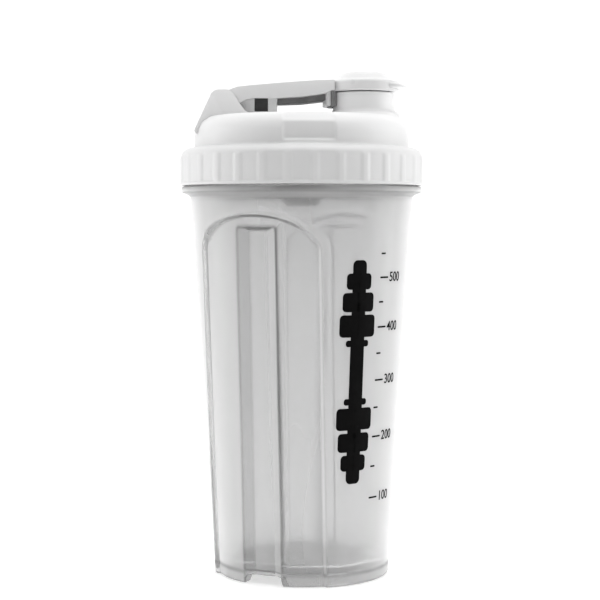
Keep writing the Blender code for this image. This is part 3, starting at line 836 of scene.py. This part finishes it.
def arm_outline():
    """From the knuckle along the underside to the cap, then back over the top."""
    outline = arc((PIVOT_X, PIVOT_Z), KNUCKLE_R, 130, 285, 14)
    outline += [(-27.0, 192.4), (-24.6, 194.0), (-22.4, 195.2), (-20.0, 195.6)]
    outline += [(-10.0, 195.6), (0.0, 196.2), (7.4, 197.2), (10.0, 197.7), (12.3, 198.9), (13.5, 198.9)]
    outline += [(13.5, 203.1), (6.0, 202.9), (-8.0, 201.9), (-20.0, 200.9)]
    return outline + [(-26.0, 200.3), (-29.0, 199.2), (-32.2, 197.5)]


def make_arm():
    """The arm and the block under its hinge end."""

    def under(x):
        """A line between the arm's underside and its top, from the knuckle on."""
        return 198.6 + 0.06 * x if x > -26 else 0

    arm = rounded_prism("arm", arm_outline(), -ARM_HALF_WIDTH, ARM_HALF_WIDTH, 1.1, 4, under)
    block = [(-26.4, 198), (-26.0, 193.6), (-25.0, 191.4), (-23.0, 189.9), (-21.0, 189.4)]
    block += [(-11.4, 189.4), (-10.2, 190.3), (-9.6, 198)]
    block_solid = rounded_prism("block", block, -BLOCK_HALF_WIDTH, BLOCK_HALF_WIDTH, 0.5)
    return join("arm", [arm, block_solid])


def make_keel():
    """The rib under the arm, dark with painted shade."""
    keel = [(-12, 198.5), (-12, 193.6), (-9, 193.6), (0.0, 193.9), (10.0, 195.0), (11.6, 196.8), (12, 200.0)]
    return rounded_prism("arm_keel", keel, -KEEL_HALF_WIDTH, KEEL_HALF_WIDTH, 0.6)


def make_hinge_shadow_pad():
    """A near-black pad set through the block: painted shadow between the ears under the arm."""
    pad = [(-19.2, 190.3), (-13.6, 190.3), (-13.6, 196.0), (-19.2, 196.0)]
    half_width = BLOCK_HALF_WIDTH + 0.2
    return rounded_prism("hinge_shadow_pad", pad, -half_width, half_width, 0.4)


def make_cap_disc():
    profile = [(0, CAP_TOP_Z), (4.0, CAP_TOP_Z - 0.06), (7.5, CAP_TOP_Z - 0.35), (9.2, CAP_TOP_Z - 0.9)]
    profile += [(10.4, CAP_TOP_Z - 1.9), (11.2, CAP_SIDE_TOP_Z + 0.75), (12.2, CAP_SIDE_TOP_Z + 0.15)]
    profile += arc((CAP_R - 1.3, CAP_SIDE_TOP_Z - 1.3), 1.3, 85, 0, 5)
    profile += [(CAP_R - 0.1, 200.6), (CAP_R - 0.2, 199.4)]
    profile += arc((CAP_R - 0.8, CAP_BOTTOM_Z + 0.6), 0.6, 0, -90, 3)
    return turned("cap_disc", profile + [(0, CAP_BOTTOM_Z)], 128, (SPOUT_X, 0))


def make_lip():
    """The thumb lip, lofted from the cap's rim to a thin flared tip."""
    rings = []
    reach_start, reach_end = SPOUT_X + 9.0, LIP_TIP_X - 0.2
    for share in np.linspace(0, 1, 14):
        x = reach_start + (reach_end - reach_start) * (1 - (1 - share) ** 1.6)
        out = (x - reach_start) / (reach_end - reach_start)
        half_width = 10.2 * (1 - out**2.6) ** 0.5 + 0.4
        top = CAP_SIDE_TOP_Z - 0.5 - 2.3 * out**1.5
        bottom = CAP_BOTTOM_Z + 0.5 + 1.3 * out - 0.9 * out**4
        middle, half = (top + bottom) / 2, max((top - bottom) / 2, 0.25)
        angles = np.linspace(0, 2 * pi, 32, endpoint=False)
        y = half_width * np.sign(np.cos(angles)) * np.abs(np.cos(angles)) ** 0.7
        z = middle + half * np.sign(np.sin(angles)) * np.abs(np.sin(angles)) ** 0.6
        rings.append(np.stack([np.full_like(y, x), y, z], axis=-1))
    ends = [tuple(rings[i].mean(axis=0)) for i in (0, -1)]
    return woven("lip", rings, ends[0], ends[1], smooth_angle=radians(40))


def curved_wall(name, radii, half_angle, low_z, high_z):
    """A short wall on an arc about the spout, on its hinge side."""
    bm = bmesh.new()
    outline = []
    for radius, order in ((radii[0], 1), (radii[1], -1)):
        for angle in np.linspace(-1, 1, 13) * order:
            turn = pi + half_angle * angle
            outline.append((SPOUT_X + radius * cos(turn), radius * sin(turn)))
    low = [bm.verts.new((x, y, low_z)) for x, y in outline]
    high = [bm.verts.new((x, y, high_z)) for x, y in outline]
    base = bm.faces.new(low)
    bm.faces.new(list(reversed(high)))
    for i in range(len(outline)):
        following = (i + 1) % len(outline)
        bm.faces.new((low[i], low[following], high[following], high[i]))
    round_edges(bm, base.edges, 0.5, 3)
    return from_bmesh(name, bm)


def make_apron():
    """The curved wall under the arm that hugs the spout."""
    return curved_wall("apron", APRON_R, APRON_HALF_ANGLE, *APRON_Z)


def make_gap_shadow():
    """A dark sheet between the apron and the spout: painted shadow in the gap."""
    return curved_wall("apron_gap_shadow", GAP_SHADOW_R, GAP_SHADOW_HALF_ANGLE, *GAP_SHADOW_Z)


def make_flip_cap():
    cap = join("cap_and_arm", [make_arm(), make_cap_disc(), make_lip(), make_apron()])
    cap.data.shade_smooth()
    cap.data.set_sharp_from_angle(angle=radians(45))
    return cap


# ---------------------------------------------------------------- materials

NOISE_RANGE = (0.3, 0.7)


def grey(value):
    """A neutral tone, or the same value three times."""
    return (value, value, value)


class Nodes:
    """A short way to write the nodes of a material or a world, its owner."""

    def __init__(self, owner):
        owner.use_nodes = True
        self.owner = owner
        self.tree = owner.node_tree
        self.shader = self.tree.nodes.get("Principled BSDF") or self.tree.nodes["Background"]
        self.places = self.add("ShaderNodeTexCoord").outputs

    def add(self, kind, **settings):
        node = self.tree.nodes.new(kind)
        for key, value in settings.items():
            setattr(node, key, value)
        return node

    def link(self, source, target):
        self.tree.links.new(source, target)

    def ramp(self, value, source, target):
        """Maps a value from one range to another."""
        node = self.add("ShaderNodeMapRange")
        node.inputs["From Min"].default_value, node.inputs["From Max"].default_value = source
        node.inputs["To Min"].default_value, node.inputs["To Max"].default_value = target
        self.link(value, node.inputs["Value"])
        return node.outputs["Result"]

    def split(self, vector):
        """The X, Y and Z of a vector."""
        node = self.add("ShaderNodeSeparateXYZ")
        self.link(vector, node.inputs["Vector"])
        return node.outputs

    def combine(self, operation, a, b=0.0):
        """A sum, product or other result of one or two values."""
        node = self.add("ShaderNodeMath", operation=operation)
        for source, socket in ((a, node.inputs[0]), (b, node.inputs[1])):
            if isinstance(source, float):
                socket.default_value = source
            else:
                self.link(source, socket)
        return node.outputs["Value"]

    def noise(self, scale, detail=3.0, stretch=(1, 1, 1)):
        """Noise in the object's own space; scale is in features per metre."""
        mapping = self.add("ShaderNodeMapping")
        mapping.inputs["Scale"].default_value = stretch
        self.link(self.places["Object"], mapping.inputs["Vector"])
        node = self.add("ShaderNodeTexNoise")
        node.inputs["Scale"].default_value = scale
        node.inputs["Detail"].default_value = detail
        self.link(mapping.outputs["Vector"], node.inputs["Vector"])
        return node.outputs["Fac"]

    def spread(self, value, low, high):
        """Maps noise to a range."""
        return self.ramp(value, NOISE_RANGE, (low, high))

    def tint(self, value, dark, light):
        """Colours noise between two tones."""
        node = self.add("ShaderNodeValToRGB")
        for element, position, colour in zip(node.color_ramp.elements, NOISE_RANGE, (dark, light)):
            element.position = position
            element.color = (*colour, 1)
        self.link(value, node.inputs["Fac"])
        return node.outputs["Color"]

    def toward(self, colour, amount, other):
        """Mixes a colour towards another one."""
        node = self.add("ShaderNodeMix", data_type="RGBA")
        self.link(amount, node.inputs["Factor"])
        self.link(colour, node.inputs["A"])
        node.inputs["B"].default_value = (*other, 1)
        return node.outputs["Result"]

    def height_ramp(self, low, high, top=1.0):
        """Rises from 0 to top between two heights in millimetres."""
        return self.ramp(self.split(self.places["Object"])["Z"], (low * MM, high * MM), (0.0, top))

    def bump(self, value, strength, distance):
        node = self.add("ShaderNodeBump")
        node.inputs["Strength"].default_value = strength
        node.inputs["Distance"].default_value = distance
        self.link(value, node.inputs["Height"])
        return node.outputs["Normal"]

    def scatter(self, kind, colour):
        """A plain diffuse or translucent shader."""
        node = self.add(kind)
        self.link(colour, node.inputs["Color"])
        return node.outputs["BSDF"]

    def blend(self, amount, first, second):
        """A mix of two shaders."""
        node = self.add("ShaderNodeMixShader")
        if isinstance(amount, float):
            node.inputs["Fac"].default_value = amount
        else:
            self.link(amount, node.inputs["Fac"])
        self.link(first, node.inputs[1])
        self.link(second, node.inputs[2])
        return node.outputs["Shader"]


def new_material(name):
    """The nodes of a new material, with its output beside its shader."""
    n = Nodes(bpy.data.materials.new(name))
    n.output = n.tree.nodes["Material Output"]
    return n


def white_plastic(name, dark, light, rough=(0.30, 0.42), painted_shading_band=None):
    """Moulded polypropylene: slight mottling, a fine satin grain and uneven gloss.

    A painted shading band is a pair of heights in millimetres and the colour the plastic turns to between
    them, painted light where it is lighter and painted shade where it is darker.
    """
    n = new_material(name)
    tone = n.tint(n.noise(45, 4), dark, light)
    if painted_shading_band:
        low, high, colour = painted_shading_band
        tone = n.toward(tone, n.height_ramp(low, high), colour)
    n.link(tone, n.shader.inputs["Base Color"])
    n.link(n.spread(n.noise(160, 3), *rough), n.shader.inputs["Roughness"])
    n.link(n.bump(n.noise(2600, 2), 0.25, 0.00006), n.shader.inputs["Normal"])
    n.shader.inputs["IOR"].default_value = 1.49
    n.shader.inputs["Subsurface Weight"].default_value = 0.15
    n.shader.inputs["Subsurface Radius"].default_value = grey(0.004)
    n.shader.inputs["Subsurface Scale"].default_value = 0.5
    return n.owner


def upright_rim(n):
    """How far a surface is both upright and seen edge on, from 0 to 0.9; it masks the cup's painted rim
    highlight.
    """
    facing = n.add("ShaderNodeLayerWeight")
    facing.inputs["Blend"].default_value = 0.5
    normal = n.split(n.add("ShaderNodeNewGeometry").outputs["Normal"])
    tilt = n.combine("MULTIPLY", n.combine("ABSOLUTE", normal["Z"]), 1.6)
    upright = n.combine("MAXIMUM", n.combine("SUBTRACT", 0.9, tilt), 0.0)
    return n.combine("MULTIPLY", n.combine("POWER", facing.outputs["Facing"], 1.3), upright)


def frosted_plastic():
    """Translucent polypropylene: part clear, part milky, with flow streaks along the wall.

    It is milkier under the collar. It darkens with the painted shade attribute, and turns whitest where an
    upright wall is seen edge on, a painted highlight.
    """
    n = new_material("frosted_cup_look")
    streaks, shade_tone = (1, 1, 0.25), grey(0.16)
    # Painted shade from the cup's attribute darkens the clear, milky and rim tones.
    shade_amount = n.add("ShaderNodeAttribute", attribute_name=PAINTED_SHADE).outputs["Fac"]
    tone = n.tint(n.noise(30, 3, streaks), grey(0.82), grey(0.87))
    n.link(n.toward(tone, shade_amount, grey(0.08)), n.shader.inputs["Base Color"])
    n.link(n.spread(n.noise(120, 3, (1, 1, 0.3)), 0.10, 0.14), n.shader.inputs["Roughness"])
    n.shader.inputs["Transmission Weight"].default_value = 1.0
    n.shader.inputs["IOR"].default_value = 1.45

    milky = n.toward(n.tint(n.noise(40, 3, streaks), grey(0.81), grey(0.85)), shade_amount, shade_tone)
    milk = n.scatter("ShaderNodeBsdfTranslucent", milky)
    haze = n.blend(0.5, milk, n.scatter("ShaderNodeBsdfDiffuse", milky))
    collar = n.combine("SUBTRACT", n.height_ramp(154.3, 155.4, 0.36), n.height_ramp(156.6, 157.6, 0.18))
    haze_share = n.combine("ADD", n.spread(n.noise(25, 2, (1, 1, 0.2)), 0.22, 0.28), collar)
    wall = n.blend(haze_share, n.shader.outputs["BSDF"], haze)
    # A bright diffuse white where an upright wall is seen edge on: a painted rim highlight.
    rim_highlight_tone = n.toward(n.tint(n.noise(40, 3), grey(0.92), grey(0.96)), shade_amount, shade_tone)
    edge = n.scatter("ShaderNodeBsdfDiffuse", rim_highlight_tone)
    n.link(n.blend(upright_rim(n), wall, edge), n.output.inputs["Surface"])

    depth = n.add("ShaderNodeVolumeAbsorption")
    depth.inputs["Color"].default_value = (*grey(0.4), 1)
    depth.inputs["Density"].default_value = 22.0
    n.link(depth.outputs["Volume"], n.output.inputs["Volume"])
    return n.owner


def ink():
    """Screen-printed ink: near black, matt, with slightly uneven cover."""
    n = new_material("black_ink")
    n.link(n.tint(n.noise(220, 4), grey(0.001), grey(0.003)), n.shader.inputs["Base Color"])
    n.link(n.spread(n.noise(500, 3), 0.42, 0.58), n.shader.inputs["Roughness"])
    n.link(n.bump(n.noise(3000, 2), 0.3, 0.00004), n.shader.inputs["Normal"])
    n.shader.inputs["Specular IOR Level"].default_value = 0.05
    return n.owner


def soft_silicone(name, dark, light):
    """Pale silicone, soft enough for light to sink in."""
    n = new_material(name)
    n.link(n.tint(n.noise(80, 3), dark, light), n.shader.inputs["Base Color"])
    n.link(n.spread(n.noise(300, 3), 0.5, 0.62), n.shader.inputs["Roughness"])
    n.link(n.bump(n.noise(2200, 2), 0.2, 0.00005), n.shader.inputs["Normal"])
    n.shader.inputs["Subsurface Weight"].default_value = 0.25
    n.shader.inputs["Subsurface Radius"].default_value = grey(0.003)
    return n.owner


def shade_stand_in(name, dark, light):
    """Near-black matt stand-in for shade, with faint mottling and a fine grain: painted shade."""
    n = new_material(name)
    n.link(n.tint(n.noise(260, 4), dark, light), n.shader.inputs["Base Color"])
    n.link(n.spread(n.noise(600, 3), 0.5, 0.68), n.shader.inputs["Roughness"])
    n.link(n.bump(n.noise(2400, 2), 0.3, 0.00006), n.shader.inputs["Normal"])
    n.shader.inputs["Specular IOR Level"].default_value = 0.25
    return n.owner


def pin_finish():
    """Grey plastic rod with faint marks round it."""
    n = new_material("pin_look")
    n.link(n.tint(n.noise(300, 3), (0.42, 0.42, 0.43), (0.52, 0.52, 0.53)), n.shader.inputs["Base Color"])
    n.link(n.spread(n.noise(900, 3, (1, 0.2, 1)), 0.32, 0.46), n.shader.inputs["Roughness"])
    return n.owner


def wear(obj, material):
    """Makes a material an object's only one."""
    obj.data.materials.clear()
    obj.data.materials.append(material)


def repaint(node, material):
    """Gives a node of the model a better material."""
    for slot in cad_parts[node].material_slots:
        slot.material = material


# ---------------------------------------------------------------- stage


def make_floor():
    """A pale floor that glows, less in front of the cup and more towards the back: painted light that lifts
    it to white and thins the cup's shadow.
    """
    n = new_material("pale_floor")
    n.shader.inputs["Base Color"].default_value = (*grey(0.65), 1)
    n.shader.inputs["Roughness"].default_value = 0.85
    n.shader.inputs["Specular IOR Level"].default_value = 0.2
    n.shader.inputs["Emission Color"].default_value = (*grey(1), 1)
    direction = n.add("ShaderNodeVectorMath", operation="NORMALIZE")
    n.link(n.places["Object"], direction.inputs[0])
    behind = n.ramp(n.split(direction.outputs["Vector"])["Y"], (-0.2, 0.9), (0.0, 0.25))
    beyond = n.ramp(n.split(n.places["Object"])["Y"], (-0.35, -0.1), (0.05, 0.5))
    n.link(n.combine("ADD", behind, beyond), n.shader.inputs["Emission Strength"])
    bm = bmesh.new()
    bmesh.ops.create_circle(bm, cap_ends=True, segments=96, radius=12.0)
    mesh = bpy.data.meshes.new("floor")
    bm.to_mesh(mesh)
    bm.free()
    mesh.materials.append(n.owner)
    floor = bpy.data.objects.new("floor", mesh)
    bpy.context.scene.collection.objects.link(floor)


def make_world():
    """A soft white room, darker on the camera's side and brightest to the left and right."""
    n = Nodes(bpy.data.worlds.new("studio"))
    n.shader.inputs["Color"].default_value = (*grey(1), 1)
    direction = n.split(n.places["Generated"])
    behind = n.ramp(direction["Y"], (-1.0, 0.1), (0.22, 1.12))
    sides = n.ramp(n.combine("ABSOLUTE", direction["X"]), (0.7, 1.0), (0.0, 0.6))
    n.link(n.combine("ADD", behind, sides), n.shader.inputs["Strength"])
    bpy.context.scene.world = n.owner


def add_softbox(name, location, target, size, power):
    """An area light aimed at a point; sizes in metres, power in watts."""
    light = bpy.data.lights.new(name, "AREA")
    light.shape = "RECTANGLE"
    light.size, light.size_y = size
    light.energy = power
    obj = bpy.data.objects.new(name, light)
    obj.location = location
    obj.rotation_euler = (Vector(target) - Vector(location)).to_track_quat("-Z", "Y").to_euler()
    bpy.context.scene.collection.objects.link(obj)


def make_lights():
    """A softbox on each side and one overhead; places and sizes in metres."""
    middle = (0, 0, 0.11)
    for side in (-1, 1):
        add_softbox(f"side_box{side + 1}", (0.85 * side, 0.1, 0.2), middle, (0.5, 0.6), 0.8)
    add_softbox("top_box", (0.1, -0.1, 1.0), middle, (0.9, 0.9), 3.2)


def make_camera():
    """The photograph's view: level with the top of the grip panels and tipped slightly down."""
    camera = bpy.data.cameras.new("camera")
    camera.sensor_width = 36
    camera.lens = 101.4
    camera.clip_end = 50
    obj = bpy.data.objects.new("camera", camera)
    distance, height, tip = 0.700, 0.146, radians(2.7)
    obj.location = (-0.0006, -distance, height)
    obj.rotation_euler = (pi / 2 - tip, 0, 0)
    bpy.context.scene.collection.objects.link(obj)
    bpy.context.scene.camera = obj


# ---------------------------------------------------------------- assembly

make_camera()
make_world()
make_lights()
make_floor()
bpy.context.scene.view_settings.view_transform = "Standard"

# The lid turns lighter from 174 mm up to the dome's top: painted light.
white = white_plastic("white_lid_look", grey(0.70), grey(0.74), painted_shading_band=(174, 196, grey(0.9)))
# The cap and arm are a lighter copy of the lid's white plastic: painted light.
cap_white = white_plastic("white_cap_look", grey(0.78), grey(0.82), (0.26, 0.38))
black = ink()

cup = make_cup()
wear(cup, frosted_plastic())
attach(cup, "cup")
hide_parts("cup_body")

for artwork in (make_dumbbell_print(), make_volume_print()):
    wear(artwork, black)
    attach(artwork, "cup")

lid = make_lid()
wear(lid, white)
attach(lid, "lid")
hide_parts("lid_shell")

cap = make_flip_cap()
wear(cap, cap_white)
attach(cap, "cap")
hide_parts("flip_cap")

# Dark pieces on the cap: painted shade under the arm, in the apron's gap and at the hinge block.
for piece, look in (
    (make_keel(), shade_stand_in("keel_shade_look", grey(0.15), grey(0.19))),
    (make_gap_shadow(), shade_stand_in("gap_shadow_look", grey(0.22), grey(0.28))),
    (make_hinge_shadow_pad(), shade_stand_in("hinge_shadow_look", grey(0.04), grey(0.06))),
):
    wear(piece, look)
    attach(piece, "cap")

repaint("lid_gasket", soft_silicone("gasket_look", (0.62, 0.63, 0.64), (0.68, 0.69, 0.70)))
repaint("spout_seal", soft_silicone("seal_look", (0.60, 0.61, 0.62), (0.66, 0.67, 0.68)))
# The strainer turns near black above 158 mm, where its plate sits under the lid: painted shadow.
painted_plate_shadow = (156.8, 158.2, grey(0.03))
repaint("mixing_strainer", white_plastic("strainer_look", grey(0.5), grey(0.54), (0.4, 0.5), painted_plate_shadow))
repaint("hinge_pin", pin_finish())
